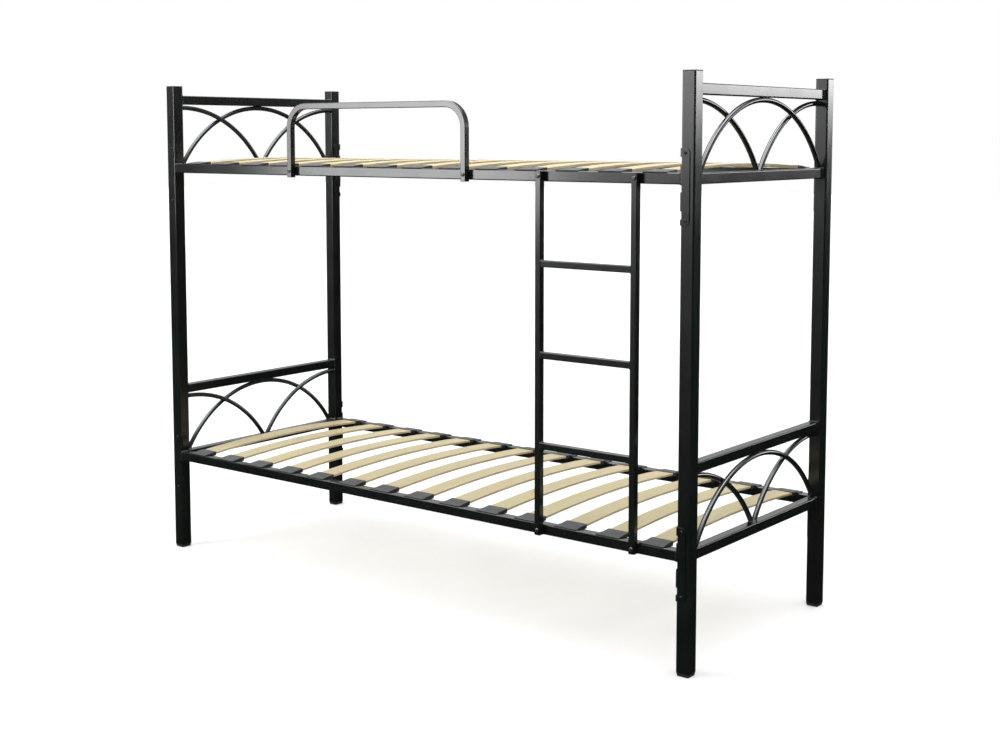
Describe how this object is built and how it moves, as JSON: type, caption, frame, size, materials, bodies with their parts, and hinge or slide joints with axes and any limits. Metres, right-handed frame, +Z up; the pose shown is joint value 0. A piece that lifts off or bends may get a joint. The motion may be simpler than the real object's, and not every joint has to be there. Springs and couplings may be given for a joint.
{
  "type": "bunk bed with ladder",
  "caption": "Steel tube bunk bed with arched end panels, bowed wooden slats, a screwed-on ladder and a bent guard rail, for two single mattresses.",
  "frame": {"origin": "on the floor, in the middle of the bed's length and of its overall depth, bolt heads and screw heads included", "axes": "+X along the bed towards the ladder end, +Y from the ladder side to the rear, +Z up"},
  "size_m": [2.08, 0.8268, 1.6],
  "materials": {
    "frame_coat": "semi-gloss black powder coat",
    "plastic": "fine-grained black injection-moulded plastic",
    "wood": "pale bent birch plywood, satin lacquer",
    "fasteners": "dark zinc-plated steel"
  },
  "bodies": {
    "root": {"bracket_front_left_lower": "frame_coat", "bracket_front_left_upper": "frame_coat", "bracket_front_right_lower": "frame_coat", "bracket_front_right_upper": "frame_coat", "bracket_rear_left_lower": "frame_coat", "bracket_rear_left_upper": "frame_coat", "bracket_rear_right_lower": "frame_coat", "bracket_rear_right_upper": "frame_coat", "bracket_screws": "fasteners", "foot_front_left": "plastic", "foot_front_right": "plastic", "foot_rear_left": "plastic", "foot_rear_right": "plastic", "front_lower_side_rail": "frame_coat", "front_lower_slat_caps": "plastic", "front_upper_side_rail": "frame_coat", "front_upper_slat_caps": "plastic", "guard_bolts": "fasteners", "guard_nuts": "fasteners", "guard_rail": "frame_coat", "ladder_bolts": "fasteners", "ladder_bottom_rung": "frame_coat", "ladder_left_leg": "frame_coat", "ladder_middle_rung": "frame_coat", "ladder_nuts": "fasteners", "ladder_right_leg": "frame_coat", "ladder_top_rung": "frame_coat", "left_lower_cross_rail": "frame_coat", "left_lower_front_half_arch": "frame_coat", "left_lower_full_arch": "frame_coat", "left_lower_rear_half_arch": "frame_coat", "left_lower_top_rail": "frame_coat", "left_upper_cross_rail": "frame_coat", "left_upper_front_half_arch": "frame_coat", "left_upper_full_arch": "frame_coat", "left_upper_rear_half_arch": "frame_coat", "left_upper_top_rail": "frame_coat", "lower_slats": "wood", "post_front_left": "frame_coat", "post_front_right": "frame_coat", "post_rear_left": "frame_coat", "post_rear_right": "frame_coat", "post_top_caps": "plastic", "rear_lower_side_rail": "frame_coat", "rear_lower_slat_caps": "plastic", "rear_upper_side_rail": "frame_coat", "rear_upper_slat_caps": "plastic", "right_lower_cross_rail": "frame_coat", "right_lower_front_half_arch": "frame_coat", "right_lower_full_arch": "frame_coat", "right_lower_rear_half_arch": "frame_coat", "right_lower_top_rail": "frame_coat", "right_upper_cross_rail": "frame_coat", "right_upper_front_half_arch": "frame_coat", "right_upper_full_arch": "frame_coat", "right_upper_rear_half_arch": "frame_coat", "right_upper_top_rail": "frame_coat", "tube_end_plugs": "plastic", "upper_slats": "wood"}
  },
  "joints": []
}
